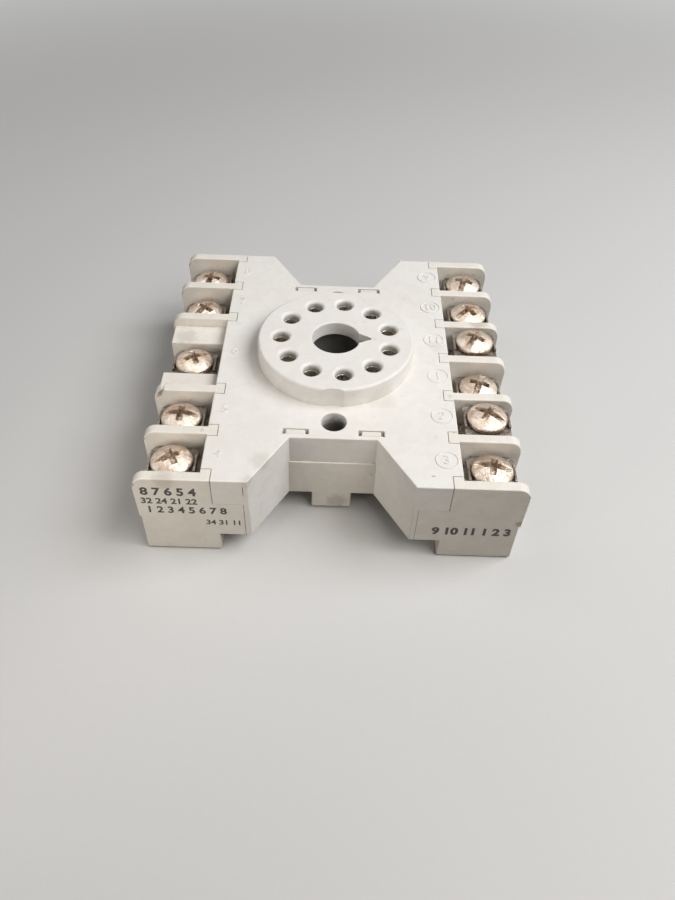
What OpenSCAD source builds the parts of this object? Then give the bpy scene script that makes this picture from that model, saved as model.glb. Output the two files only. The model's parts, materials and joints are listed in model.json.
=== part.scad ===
// Eleven-pin relay socket with screw terminals, for a 35 mm rail or for two screws.
// Millimetres.  X runs across the rail, Y runs along the rail, Z is up.
// The origin is the centre of the underside, level with the bottom of the rail feet.

/* [Housing] */
// Distance from one barrier to the next along a terminal row
barrier_pitch = 9.8; // [9.5:0.1:11]
// Thickness of a barrier between two terminals
barrier_t = 1.8; // [1.4:0.1:2.1]
// Height of the deck and of the barriers above the feet
deck_h = 17.0; // [16.6:0.1:20]
// Width of the deck between the two terminal rows
deck_w = 40.0; // [38:0.2:46]
// Length of a terminal bay from the deck to the side of the base
bay_len = 9.75; // [9.2:0.05:11]
// Thickness of the deck
deck_t = 1.8; // [1.2:0.1:2.4]
// Thickness of the outer walls of base and cover
wall = 1.7; // [1.2:0.1:2.0]
// Level of the terminal floors above the feet
floor_h = 10.4; // [9.8:0.1:10.8]
// Thickness of the web that closes the base from below
web_t = 2.2; // [1.6:0.1:3.0]
// How far the base stands proud of the cover at the waist
lower_ledge = 0.2; // [0.1:0.05:0.4]
// Thickness of the cover's skirts over the slanted sides of the base
skirt_t = 0.7; // [0.5:0.05:1.0]
// Radius of the outer top corner of each barrier
barrier_corner_r = 2.0; // [1.0:0.1:3.0]

/* [Waist] */
// Width of the narrow waist at the front and the rear
waist_w = 14.2; // [13.4:0.1:16]
// Distance between the two waist faces
waist_len = 41.8; // [41.4:0.1:43]
// Distance between the inner corners of the two wings of one end
wing_gap = 25.4; // [24:0.2:28]

/* [Relay seat] */
// Diameter of the raised round boss
boss_d = 27.0; // [25.8:0.1:29]
// Height of the boss above the deck
boss_h = 3.75; // [3.2:0.05:5]
// Thickness of the boss plate
boss_plate_t = 2.7; // [2:0.1:3]
// Diameter of the circle on which the pin holes lie
pin_circle_d = 19.05; // [18.8:0.05:19.6]
// Diameter of a pin hole
pin_hole_d = 2.8; // [2.5:0.1:3.0]
// Diameter of the countersunk rim of a pin hole
pin_rim_d = 3.5; // [3.2:0.1:3.8]
// Diameter of the round part of the key hole
key_d = 8.3; // [7.6:0.1:9]
// Distance from the centre to the tip of the keyway
key_tip = 6.05; // [5.4:0.05:6.6]
// Width of the keyway where it leaves the round hole
key_neck_w = 2.4; // [1.8:0.1:3.0]

/* [Mounting] */
// Distance between the two mounting holes
mount_spacing = 33.8; // [33.2:0.1:34.2]
// Diameter of a mounting hole
mount_hole_d = 4.1; // [3.6:0.1:4.4]
// Width of the leg round a mounting hole
mount_leg_w = 6.7; // [6.3:0.1:7.4]
// Width of the rail that the feet straddle
rail_w = 35.0; // [34.8:0.05:35.4]
// Depth of the rail channel
rail_depth = 3.9; // [3.5:0.1:4.6]
// Thickness of the rail's flange
rail_t = 1.0; // [0.9:0.05:1.3]
// How far a rail hook reaches under the flange
hook_reach = 1.0; // [0.6:0.1:1.4]

/* [Terminals] */
// Gap between the deck and a clamp plate
clamp_in_gap = 1.3; // [1.1:0.05:1.6]
// Gap between a clamp plate and the side of the base
clamp_out_gap = 0.85; // [0.7:0.05:1.1]
// Diameter of a terminal screw's shank
screw_d = 3.5; // [3.0:0.1:3.7]
// Length of a terminal screw under its head
screw_len = 7.6; // [6.8:0.1:7.8]
// Diameter of a screw head
head_d = 6.6; // [5.8:0.1:6.9]
// Height of the straight side of a screw head
head_side_h = 0.9; // [0.7:0.1:1.2]
// Height of a whole screw head
head_h = 2.1; // [1.8:0.1:2.4]
// Thickness of a clamp plate
clamp_t = 0.8; // [0.6:0.1:1.0]
// Thickness of the contact strip
strip_t = 1.0; // [0.8:0.05:1.2]
// Width of the contact strip inside the housing
strip_w = 2.6; // [2.0:0.1:3.2]
// Outer diameter of the sleeve that grips a relay pin
sleeve_d = 3.5; // [3.3:0.1:3.8]
// Inner diameter of that sleeve
sleeve_bore_d = 2.4; // [2.2:0.1:2.6]
// How far each screw is backed out, left row rear to front, then right row
screw_lift = [1.25, 1.1, 1.2, 1.65, 1.8, 2.3, 2.55, 3.85, 1.5, 3.85, 1.8];
// Direction of each screw's slot in the same order
slot_angle = [80, 55, 27, -2, 30, 75, 40, 56, 70, -31, -12];

/* [Hidden] */
$fn = 64;

base_colour = [0.80, 0.78, 0.74];
cover_colour = [0.90, 0.90, 0.89];
contact_colour = [0.72, 0.70, 0.64];
clamp_colour = [0.76, 0.75, 0.72];
screw_colour = [0.78, 0.70, 0.58];

// Small overlap that joins solids of one moulding
eps = 0.05;
// Gap between the cover and what it fits over
fit_gap = 0.1;
// Gap between flat faces that slide or press on each other
slide_gap = 0.05;
// Gap beside a clamp plate or contact in its bay
bay_gap = 0.3;
// How far a cutter runs past what it cuts, and how far joined shapes run into each other
past = 1.0;

// Levels
strip_top = floor_h + strip_t;
parting_h = strip_top + fit_gap;
web_top = rail_depth + web_t;
deck_under = deck_h - deck_t;
boss_top = deck_h + boss_h;
boss_under = boss_top - boss_plate_t;
sleeve_top = boss_under - fit_gap;
clamp_seat = strip_top + slide_gap;
head_seat = clamp_seat + clamp_t + slide_gap;

// Plan
bays = 6;
half_len = bays / 2 * barrier_pitch + barrier_t / 2;
bay_w = barrier_pitch - barrier_t;
deck_x = deck_w / 2;
side_x = deck_x + bay_len;
clamp_len = bay_len - clamp_in_gap - clamp_out_gap;
screw_x = deck_x + clamp_in_gap + clamp_len / 2;
waist_x = waist_w / 2;
waist_y = waist_len / 2;
wing_x = wing_gap / 2;
mount_y = mount_spacing / 2;
pin_r = pin_circle_d / 2;
key_r = key_d / 2;
boss_r = boss_d / 2;
boss_wall = 1.9;
foot_x = rail_w / 2 + fit_gap;

// Barrier ends that lie in notches of the cover
tee_t = barrier_t + 0.6;
tee_in = deck_x - 1.65;
tip_flare = 0.4;
tip_step_h = 8.1;
tip_step = 0.25;

// Filler blocks of the double bay in the left row
filler_in = 4.05;
filler_top = 15.15;

// Screw wells, contact collars and pin chambers
screw_clear = 0.05;
well_gap = 0.35;
well_clear = 0.3;
collar_wall = 0.9;
collar_d = screw_d + 2 * collar_wall;
collar_h = 1.2;
collar_clear = 0.15;
pad_gap = 0.7;
pad_in = deck_x + pad_gap;
pad_out = side_x - clamp_out_gap;
neck_w = 5.0;
neck_in = tee_in - 0.9;
ring_lip = 0.7;
ring_wall = 0.5;
ring_in = key_tip + ring_lip;
ring_out = pin_r + sleeve_d / 2 + ring_wall;
chamber_floor = web_top + 0.8;
well_side_gap = 0.4;
well_wall = 0.8;
well_out = pin_r - sleeve_d / 2 - well_side_gap;
rib_end = 2.2;
rib_w = strip_w - 0.8;
slit_w = 0.5;
slit_rise = 0.8;

// Clamp plate
clamp_hole_gap = 0.2;
clamp_corner = 0.7;
lip_t = 0.4;
lip_h = 0.5;
lip_w = 3.6;

// Recess and point of a terminal screw
slot_w = 1.0;
slot_depth = 0.95;
cross_len = 4.0;
cross_depth = 1.6;
screw_point = 0.5;

// Legs, rail hooks and core-outs of the underside
leg_gap = 0.3;
hook_len = 8.0;
hook_h = 0.6;
hook_y = 1.5 * barrier_pitch;
core_w = 3.4;
core_roof = 2.2;
core_top = floor_h - core_roof;

// Edges of the boss
boss_edge_r = 0.5;
groove_r = 6.0;
groove_depth = 0.4;
groove_x = -0.25;
key_point_w = 0.7;
key_point_len = 0.3;

// Latch tongues through the deck
latch_in = 4.0;
latch_out = 8.1;
latch_edge = 1.0;
latch_slot_w = 1.2;
latch_tongue_t = 1.0;
latch_y = waist_y - latch_edge - latch_slot_w / 2;
latch_sink = 0.1;
latch_end_gap = 0.45;

// Slope of the slanted wing faces, and the x of such a face at y for an inset of e
slant = (wing_x - waist_x) / (half_len - waist_y);
function slant_x(y, e) = waist_x + (y - waist_y) * slant + e * sqrt(1 + slant * slant);

// Pin angles: the key lies on +X, and pins stand at equal steps from it
pin_step = 360 / 11;
function pin_angle(n) = 180 - n * pin_step;
// Pin of each terminal, as a count of steps from the pin opposite the key
pin_of = [2, 1, 0, -1, -2, 3, 4, 5, -5, -4, -3];
left_bays = [0, 1, 2.5, 4, 5];
function is_left(k) = k <= 5;
function side_of(k) = is_left(k) ? -1 : 1;
function bay_y(i) = ((bays - 1) / 2 - i) * barrier_pitch;
function terminal_y(k) = is_left(k) ? bay_y(left_bays[k - 1]) : bay_y(k - 6);
function lift(k) = screw_lift[k - 1];
function pin_xy(n) = pin_r * [cos(pin_angle(n)), sin(pin_angle(n))];
function terminal_pin(k) = pin_xy(pin_of[k - 1]);

// Butterfly outline with its long sides at x = side.  The insets are w at the waist faces,
// s at the slanted faces and f at the wing ends.
function quarter(w, s, f, side) = [
    [slant_x(waist_y - w, s), waist_y - w],
    [slant_x(half_len - f, s), half_len - f],
    [side, half_len - f]];
function mirrored(q, sx, sy) = [for (p = q) [sx * p[0], sy * p[1]]];
function reversed(q) = [for (i = [len(q) - 1:-1:0]) q[i]];
function outline(w, s, f, side) = concat(
    quarter(w, s, f, side),
    reversed(mirrored(quarter(w, s, f, side), 1, -1)),
    mirrored(quarter(w, s, f, side), -1, -1),
    reversed(mirrored(quarter(w, s, f, side), -1, 1)));

module prism(points, z0, z1) {
    translate([0, 0, z0])
        linear_extrude(z1 - z0)
            polygon(points);
}

// Box from one corner to the opposite one
module box(a, b) {
    translate([min(a[0], b[0]), min(a[1], b[1]), min(a[2], b[2])])
        cube([abs(b[0] - a[0]), abs(b[1] - a[1]), abs(b[2] - a[2])]);
}

// Round bar or bore along Z
module rod(p, r, z0, z1) {
    translate([p[0], p[1], z0])
        cylinder(r = r, h = z1 - z0);
}

// Straight bar of width w from p to q
module bar(p, q, w, z0, z1) {
    d = q - p;
    translate([p[0], p[1], z0])
        rotate(atan2(d[1], d[0]))
            translate([0, -w / 2, 0])
                cube([norm(d), w, z1 - z0]);
}

// ---- Base moulding ----

// Barrier in the XZ plane: the outer edge leans out a little and its top corner is round
module barrier_profile() {
    tip = side_x + tip_flare;
    difference() {
        polygon([
            [tee_in, floor_h - eps],
            [side_x - past, floor_h - eps],
            [side_x - past, tip_step_h],
            [side_x + tip_step, tip_step_h],
            [tip, deck_h - barrier_corner_r],
            [tip, deck_h],
            [tee_in, deck_h]]);
        translate([tip - barrier_corner_r, deck_h - barrier_corner_r])
            difference() {
                square(barrier_corner_r + past);
                circle(barrier_corner_r);
            }
    }
}

module barrier(side, y) {
    outer = abs(y) > half_len - barrier_t;
    tee_y = outer ? sign(y) * (half_len - tee_t / 2) : y;
    translate([0, y + barrier_t / 2, 0])
        rotate([90, 0, 0])
            linear_extrude(barrier_t)
                facing(side)
                    barrier_profile();
    box([side * tee_in, tee_y - tee_t / 2, floor_h - eps], [side * deck_x, tee_y + tee_t / 2, deck_h]);
}

// Flat shape drawn towards +X, turned to face the given side
module facing(side) {
    if (side > 0) children();
    else mirror([1, 0]) children();
}

// Jagged gap under a thin sliver that still stands at the outer top corner of one barrier
module chip(y) {
    translate([0, y + barrier_t, 0])
        rotate([90, 0, 0])
            linear_extrude(2 * barrier_t)
                translate([-(side_x + tip_flare), deck_h])
                    polygon([[0.36, -2.05], [0.8, -1.75], [1.25, -1.25], [1.4, -0.75], [1.62, -0.35],
                        [1.8, 0.1], [1.25, 0.1], [0.98, -0.36], [0.76, -0.63], [0.52, -1.0], [0.41, -1.4]]);
}

module barriers() {
    for (i = [0:bays]) {
        y = bay_y(i) + barrier_pitch / 2;
        barrier(1, y);
        if (i != bays / 2) barrier(-1, y);
    }
}

// Blocks that narrow the double bay of the left row to one terminal
module filler_blocks() {
    for (s = [-1, 1])
        box([-deck_x, s * filler_in, floor_h - eps],
            [-side_x, s * (barrier_pitch - barrier_t / 2 + eps), filler_top]);
}

// Hollow leg that carries one mounting screw, cut flat where it passes the cover's waist wall
module mounting_leg(s) {
    box([-mount_leg_w / 2, s * mount_y, leg_gap],
        [mount_leg_w / 2, s * waist_y, parting_h]);
    difference() {
        rod([0, s * mount_y], mount_leg_w / 2, leg_gap, deck_under - fit_gap);
        box([-mount_leg_w, s * (waist_y - lower_ledge - wall - fit_gap), parting_h],
            [mount_leg_w, s * half_len, deck_h]);
    }
}

// Lips that hook under the flange of the rail
module rail_hooks() {
    hook_top = rail_depth - rail_t - fit_gap;
    for (sx = [-1, 1])
        for (sy = [-1, 1])
            translate([0, sy * hook_y + hook_len / 2, 0])
                rotate([90, 0, 0])
                    linear_extrude(hook_len)
                        facing(sx)
                            polygon([[foot_x + eps, hook_top], [foot_x - hook_reach, hook_top],
                                [foot_x - hook_reach, hook_top - hook_h], [foot_x + eps, hook_h]]);
}

// Ribs and ring that carry the contact strips
module contact_supports() {
    difference() {
        rod([0, 0], ring_out, web_top - eps, floor_h);
        rod([0, 0], ring_in, web_top, floor_h + past);
        for (n = [-5:5])
            rod(pin_xy(n), sleeve_bore_d / 2, chamber_floor, floor_h + past);
    }
    for (k = [1:11])
        bar([side_of(k) * (tee_in + eps), terminal_y(k)],
            terminal_pin(k) + [side_of(k) * rib_end, 0], rib_w, web_top - eps, floor_h);
}

module latch_tongues() {
    for (sx = [-1, 1])
        for (sy = [-1, 1])
            box([sx * (latch_in + latch_end_gap), sy * (latch_y - latch_tongue_t / 2), web_top - eps],
                [sx * (latch_out - latch_end_gap), sy * (latch_y + latch_tongue_t / 2),
                    deck_h - latch_sink]);
}

// Well for the screw and its collar, and the slot through which the contact goes inside
module terminal_well(k) {
    p = [side_of(k) * screw_x, terminal_y(k)];
    well_floor = head_seat - screw_len - well_gap;
    rod(p, screw_d / 2 + well_clear, well_floor, floor_h + past);
    rod(p, collar_d / 2 + collar_clear, floor_h - collar_h - fit_gap, floor_h + past);
    box([side_of(k) * (tee_in - past), terminal_y(k) - neck_w / 2 - fit_gap, floor_h],
        [side_of(k) * (deck_x + past), terminal_y(k) + neck_w / 2 + fit_gap, parting_h + past]);
}

// Narrow core-outs in the feet, between the screw wells
module foot_cores(side) {
    for (i = [1:bays - 1])
        if (side > 0 || i != bays / 2)
            box([side * (foot_x + wall), bay_y(i) + (barrier_pitch - core_w) / 2, -past],
                [side * (side_x - wall), bay_y(i) + (barrier_pitch + core_w) / 2, core_top]);
}

module base() color(base_colour) difference() {
    union() {
        difference() {
            union() {
                prism(outline(0, skirt_t + slide_gap, 0, side_x), rail_depth, floor_h);
                prism(outline(0, skirt_t + slide_gap, 0, deck_x), floor_h - eps, parting_h);
                for (s = [-1, 1])
                    box([s * foot_x, -half_len, 0], [s * side_x, half_len, rail_depth + eps]);
            }
            prism(outline(wall, skirt_t + slide_gap + wall, wall, tee_in), web_top, parting_h + past);
            foot_cores(-1);
            foot_cores(1);
        }
        barriers();
        filler_blocks();
        mounting_leg(-1);
        mounting_leg(1);
        rail_hooks();
        contact_supports();
        latch_tongues();
    }
    for (k = [1:11]) terminal_well(k);
    for (s = [-1, 1]) rod([0, s * mount_y], mount_hole_d / 2, -past, deck_h);
    chip(-barrier_pitch);
}

// ---- Cover moulding ----

// Plate and skirt of the cover, with the notches that take the barrier ends
module cover_shell() {
    difference() {
        prism(outline(lower_ledge, 0, 0, deck_x), parting_h + slide_gap, deck_h);
        prism(outline(lower_ledge + wall, wall, wall, tee_in), parting_h - past, deck_under);
        for (i = [0:bays])
            for (side = [-1, 1])
                if (side > 0 || i != bays / 2) tee_notch(side, bay_y(i) + barrier_pitch / 2);
    }
}

// Skirts that run down the slanted sides of the base
module skirts() {
    near = waist_y + slide_gap;
    for (sx = [-1, 1])
        for (sy = [-1, 1])
            prism(mirrored([
                [slant_x(near, 0), near], [slant_x(half_len, 0), half_len],
                [slant_x(half_len, skirt_t), half_len], [slant_x(near, skirt_t), near]], sx, sy),
                rail_depth, parting_h + slide_gap + eps);
}

// Notch for the T-shaped inner end of a barrier
module tee_notch(side, y) {
    outer = abs(y) > half_len - barrier_t;
    tee_y = outer ? sign(y) * (half_len - tee_t / 2) : y;
    out = outer ? past : 0;
    box([side * (tee_in - fit_gap), tee_y - tee_t / 2 - fit_gap - (y < 0 ? out : 0), parting_h - past],
        [side * (deck_x + past), tee_y + tee_t / 2 + fit_gap + (y > 0 ? out : 0), deck_h + past]);
}

// Round boss with a soft upper edge and a hollow underside
module boss() {
    rotate_extrude($fn = 128)
        union() {
            translate([0, deck_h - eps])
                square([boss_r, boss_h - boss_edge_r + eps]);
            translate([0, boss_top - boss_edge_r - eps])
                square([boss_r - boss_edge_r, boss_edge_r + eps]);
            translate([boss_r - boss_edge_r, boss_top - boss_edge_r])
                circle(boss_edge_r);
        }
}

// Round hole with a pointed keyway towards +X
module key_hole() {
    neck = key_neck_w / 2;
    point = key_point_w / 2;
    translate([0, 0, deck_under])
        linear_extrude(boss_top)
            union() {
                circle(key_r);
                polygon([[0, -neck], [key_r, -neck], [key_tip - key_point_len, -point], [key_tip, 0],
                    [key_tip - key_point_len, point], [key_r, neck], [0, neck]]);
            }
}

module pin_hole(p) {
    sink = (pin_rim_d - pin_hole_d) / 2;
    rod(p, pin_hole_d / 2, boss_under - past, boss_top + past);
    translate([p[0], p[1], boss_top - sink])
        cylinder(r1 = pin_hole_d / 2, r2 = pin_rim_d / 2 + eps, h = sink + eps);
}

// Shallow upright grooves in the side of the boss, front and rear
module boss_grooves() {
    for (s = [-1, 1])
        rod([groove_x, s * (boss_r + groove_r - groove_depth)], groove_r, deck_h, boss_top + past);
}

module latch_slots() {
    for (sx = [-1, 1])
        for (sy = [-1, 1])
            box([sx * latch_in, sy * (latch_y - latch_slot_w / 2), parting_h - past],
                [sx * latch_out, sy * (latch_y + latch_slot_w / 2), deck_h + past]);
}

// Tube under the key hole that keeps the relay's keyed post apart from the sleeves
module key_well() {
    difference() {
        rod([0, 0], well_out, floor_h + fit_gap, boss_under + eps);
        rod([0, 0], well_out - well_wall, floor_h, boss_under);
    }
}

module cover() color(cover_colour) difference() {
    union() {
        difference() {
            union() {
                cover_shell();
                skirts();
                boss();
            }
            rod([0, 0], boss_r - boss_wall, deck_under - past, boss_under);
        }
        key_well();
    }
    key_hole();
    for (n = [-5:5]) pin_hole(pin_xy(n));
    boss_grooves();
    latch_slots();
    for (s = [-1, 1]) rod([0, s * mount_y], mount_hole_d / 2, deck_under - past, deck_h + past);
}

// ---- Contacts, clamp plates and screws ----

// Stamped strip with a tapped pad, a neck through the wall and a split sleeve for the pin
module contact(k) color(contact_colour) {
    side = side_of(k);
    y = terminal_y(k);
    pin = terminal_pin(k);
    pad_half = bay_w / 2 - bay_gap;
    hole = [side * screw_x, y];
    difference() {
        union() {
            box([side * pad_in, y - pad_half, floor_h], [side * pad_out, y + pad_half, strip_top]);
            box([side * neck_in, y - neck_w / 2, floor_h], [side * (pad_in + past), y + neck_w / 2, strip_top]);
            bar([side * (neck_in + past), y], pin, strip_w, floor_h, strip_top);
            rod(hole, collar_d / 2, floor_h - collar_h, floor_h + eps);
            rod(pin, sleeve_d / 2, floor_h, sleeve_top);
        }
        rod(hole, screw_d / 2 + screw_clear, floor_h - collar_h - past, strip_top + past);
        rod(pin, sleeve_bore_d / 2, floor_h - past, sleeve_top + past);
        bar(pin, pin - pin / pin_r * sleeve_d, slit_w, strip_top + slit_rise, sleeve_top + past);
    }
}

// Square clamp plate with lips turned up beside the screw head
module clamp(k) color(clamp_colour) {
    side = side_of(k);
    half_l = clamp_len / 2;
    half_w = bay_w / 2 - bay_gap;
    translate([side * screw_x, terminal_y(k), clamp_seat + lift(k)])
        difference() {
            union() {
                linear_extrude(clamp_t)
                    polygon([[half_l, half_w - clamp_corner], [half_l - clamp_corner, half_w],
                        [clamp_corner - half_l, half_w], [-half_l, half_w - clamp_corner],
                        [-half_l, clamp_corner - half_w], [clamp_corner - half_l, -half_w],
                        [half_l - clamp_corner, -half_w], [half_l, clamp_corner - half_w]]);
                for (s = [-1, 1])
                    box([s * half_l, -lip_w / 2, 0], [s * (half_l - lip_t), lip_w / 2, clamp_t + lip_h]);
            }
            rod([0, 0], screw_d / 2 + clamp_hole_gap, -past, clamp_t + past);
        }
}

// Pan-head screw with a slot and a cross recess
module screw(k) color(screw_colour) {
    side = side_of(k);
    head_r = head_d / 2;
    crown = head_h - head_side_h;
    dome_r = (head_r * head_r + crown * crown) / (2 * crown);
    translate([side * screw_x, terminal_y(k), head_seat + lift(k)]) {
        difference() {
            intersection() {
                cylinder(r = head_r, h = head_h);
                translate([0, 0, head_h - dome_r])
                    sphere(dome_r, $fn = 96);
            }
            rotate(slot_angle[k - 1]) {
                box([-head_r, -slot_w / 2, head_h - slot_depth], [head_r, slot_w / 2, head_h + past]);
                box([-cross_len / 2, -slot_w / 2, head_h - cross_depth],
                    [cross_len / 2, slot_w / 2, head_h + past]);
                box([-slot_w / 2, -cross_len / 2, head_h - cross_depth],
                    [slot_w / 2, cross_len / 2, head_h + past]);
            }
        }
        rod([0, 0], screw_d / 2, screw_point - screw_len, eps);
        translate([0, 0, -screw_len])
            cylinder(r1 = screw_d / 2 - screw_point, r2 = screw_d / 2, h = screw_point);
    }
}

base();
cover();
for (k = [1:11]) {
    contact(k);
    clamp(k);
    screw(k);
}
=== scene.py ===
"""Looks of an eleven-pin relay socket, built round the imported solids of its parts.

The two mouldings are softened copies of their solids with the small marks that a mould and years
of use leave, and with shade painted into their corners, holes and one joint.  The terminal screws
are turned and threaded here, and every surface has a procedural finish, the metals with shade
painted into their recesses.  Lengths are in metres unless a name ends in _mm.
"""

from __future__ import annotations

import json
import logging
import math
from dataclasses import dataclass, field
from enum import Enum
from typing import Iterable, Union

import bmesh
import bpy
from mathutils import Matrix, Vector
from mathutils.bvhtree import BVHTree

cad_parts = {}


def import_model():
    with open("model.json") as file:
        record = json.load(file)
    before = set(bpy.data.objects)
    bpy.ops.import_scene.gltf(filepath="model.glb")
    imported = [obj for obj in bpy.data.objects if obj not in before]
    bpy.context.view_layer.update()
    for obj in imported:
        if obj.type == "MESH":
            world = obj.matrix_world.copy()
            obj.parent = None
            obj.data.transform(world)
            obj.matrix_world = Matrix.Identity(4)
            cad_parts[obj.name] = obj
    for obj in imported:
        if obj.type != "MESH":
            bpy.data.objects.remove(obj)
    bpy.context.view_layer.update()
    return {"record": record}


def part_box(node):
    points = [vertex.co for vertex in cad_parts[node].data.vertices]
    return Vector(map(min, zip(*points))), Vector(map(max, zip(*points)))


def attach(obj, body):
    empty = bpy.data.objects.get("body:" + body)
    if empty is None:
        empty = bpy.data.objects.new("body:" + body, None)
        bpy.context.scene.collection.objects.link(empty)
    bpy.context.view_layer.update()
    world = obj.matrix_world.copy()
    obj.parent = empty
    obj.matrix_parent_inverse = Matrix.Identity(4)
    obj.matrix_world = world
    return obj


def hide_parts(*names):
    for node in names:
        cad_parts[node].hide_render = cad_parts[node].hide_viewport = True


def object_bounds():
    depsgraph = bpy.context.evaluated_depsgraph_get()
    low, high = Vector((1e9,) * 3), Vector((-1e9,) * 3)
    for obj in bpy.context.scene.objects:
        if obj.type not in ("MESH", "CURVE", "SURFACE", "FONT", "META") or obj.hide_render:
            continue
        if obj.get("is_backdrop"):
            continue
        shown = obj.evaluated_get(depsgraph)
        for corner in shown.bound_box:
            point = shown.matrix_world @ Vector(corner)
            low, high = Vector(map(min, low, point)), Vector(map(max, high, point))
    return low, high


LOG = logging.getLogger("relay_socket")
MM = 0.001
TERMINALS = 11
Colour = tuple[float, float, float]
Place = tuple[float, float, float]
Feed = Union[float, tuple, bpy.types.NodeSocket]


class Slot(Enum):
    """Material slots of the record."""

    BASE = "base_plastic"
    COVER = "cover_plastic"
    CONTACT = "contact_metal"
    CLAMP = "clamp_metal"
    SCREW = "screw_metal"


class Row(Enum):
    """The two rows of terminals, as the sign of their X."""

    LEFT = -1
    RIGHT = 1


class Facing(Enum):
    """The way that a marked face of the housing looks."""

    FRONT = (0.0, -1.0, 0.0)
    UP = (0.0, 0.0, 1.0)


class LampKind(Enum):
    """How a lamp gives its light."""

    PANEL = "AREA"
    SPOT = "SPOT"


# ---------------------------------------------------------------- shader graphs


class Graph:
    """A node tree with short ways to add and join nodes."""

    def __init__(self, tree: bpy.types.NodeTree) -> None:
        """Keep the node tree to build in."""
        self.tree = tree

    def add(self, kind: str, inputs: dict[str | int, Feed] | None = None, **settings: object) -> bpy.types.Node:
        """Add a node.

        Args:
            kind: The node's type name without the ShaderNode prefix.
            inputs: Values or output sockets by input name or index.
            **settings: Attributes of the node, such as operation.

        Returns:
            The new node.
        """
        prefix = "" if kind.startswith("NodeGroup") else "ShaderNode"
        node = self.tree.nodes.new(prefix + kind)
        for key, value in settings.items():
            setattr(node, key, value)
        for key, value in (inputs or {}).items():
            self.feed(node.inputs[key], value)
        return node

    def feed(self, socket: bpy.types.NodeSocket, value: Feed) -> None:
        """Link an output socket to an input, or set the input's value.

        Args:
            socket: The input.
            value: The output socket, or the value to set.
        """
        if isinstance(value, bpy.types.NodeSocket):
            self.tree.links.new(value, socket)
        elif isinstance(value, tuple) and len(value) == 3 and socket.type == "RGBA":
            socket.default_value = (*value, 1.0)
        else:
            socket.default_value = value

    def math(self, operation: str, a: Feed, b: Feed = 0.0, clamp: bool = False) -> bpy.types.NodeSocket:
        """Return the result of a Math node on a and b."""
        return self.add("Math", {0: a, 1: b}, operation=operation, use_clamp=clamp).outputs[0]

    def vector(self, operation: str, a: Feed, b: Feed | None = None) -> bpy.types.Node:
        """Return a VectorMath node on a, and on b where the operation takes two."""
        return self.add("VectorMath", {0: a} if b is None else {0: a, 1: b}, operation=operation)

    def noise(self, place: Feed, scale: Feed, detail: float, roughness: float = 0.5,
              distortion: float = 0.0) -> bpy.types.Node:
        """Add a noise texture.

        Args:
            place: The coordinates.
            scale: Waves per metre.
            detail: Number of finer layers.
            roughness: Strength of the finer layers.
            distortion: How far the noise bends itself.

        Returns:
            The noise node.
        """
        return self.add("TexNoise", {"Vector": place, "Scale": scale, "Detail": detail, "Roughness": roughness,
                                     "Distortion": distortion})

    def span(self, value: Feed, low: Feed, high: Feed, to_low: float = 0.0,
             to_high: float = 1.0) -> bpy.types.NodeSocket:
        """Map a value from one span to another, clamped, with a smooth step.

        Args:
            value: The value to map.
            low: Value that becomes to_low.
            high: Value that becomes to_high.
            to_low: Result at low.
            to_high: Result at high.

        Returns:
            The output socket.
        """
        node = self.add("MapRange", {"Value": value, "From Min": low, "From Max": high,
                                     "To Min": to_low, "To Max": to_high},
                        interpolation_type="SMOOTHSTEP")
        return node.outputs["Result"]

    def mix(self, factor: Feed, a: Feed, b: Feed, blend: str = "MIX") -> bpy.types.NodeSocket:
        """Mix two colours.

        Args:
            factor: Share of the second colour.
            a: The first colour.
            b: The second colour.
            blend: The Mix node's blend type.

        Returns:
            The mixed colour's socket.
        """
        node = self.add("Mix", data_type="RGBA", blend_type=blend)
        self.feed(node.inputs[0], factor)
        self.feed(node.inputs[6], a)
        self.feed(node.inputs[7], b)
        return node.outputs[2]

    def lay(self, tone: Feed, mask: Feed, amount: float, colour: Feed) -> bpy.types.NodeSocket:
        """Return a tone with a colour laid over it as far as a mask times an amount says."""
        return self.mix(self.math("MULTIPLY", mask, amount), tone, colour)

    def lift(self, value: Feed, mask: Feed, amount: float) -> bpy.types.NodeSocket:
        """Return a value raised by a mask times an amount, and held between 0 and 1."""
        return self.math("ADD", value, self.math("MULTIPLY", mask, amount), clamp=True)

    def bump(self, height: Feed, strength: float, distance: float, under: bpy.types.Node | None = None,
             sunk: bool = False) -> bpy.types.Node:
        """Add a Bump node.

        Args:
            height: The height over the surface.
            strength: Strength of the relief.
            distance: Height of the relief in metres.
            under: The Bump node whose relief this one adds to.
            sunk: Whether the height goes into the surface.

        Returns:
            The Bump node.
        """
        inputs = {"Height": height, "Strength": strength, "Distance": distance}
        if under:
            inputs["Normal"] = under.outputs["Normal"]
        return self.add("Bump", inputs, invert=sunk)

    def effect(self, tree: bpy.types.NodeTree, place: Feed, **inputs: Feed) -> bpy.types.NodeSocket:
        """Place a node group with values of its own.

        Args:
            tree: The group's tree.
            place: The coordinates that it works in.
            **inputs: Values or output sockets by input name.

        Returns:
            The group's output socket.
        """
        node = self.tree.nodes.new("ShaderNodeGroup")
        node.node_tree = tree
        for key, value in {"Vector": place, **inputs}.items():
            self.feed(node.inputs[key], value)
        return node.outputs[0]


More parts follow.
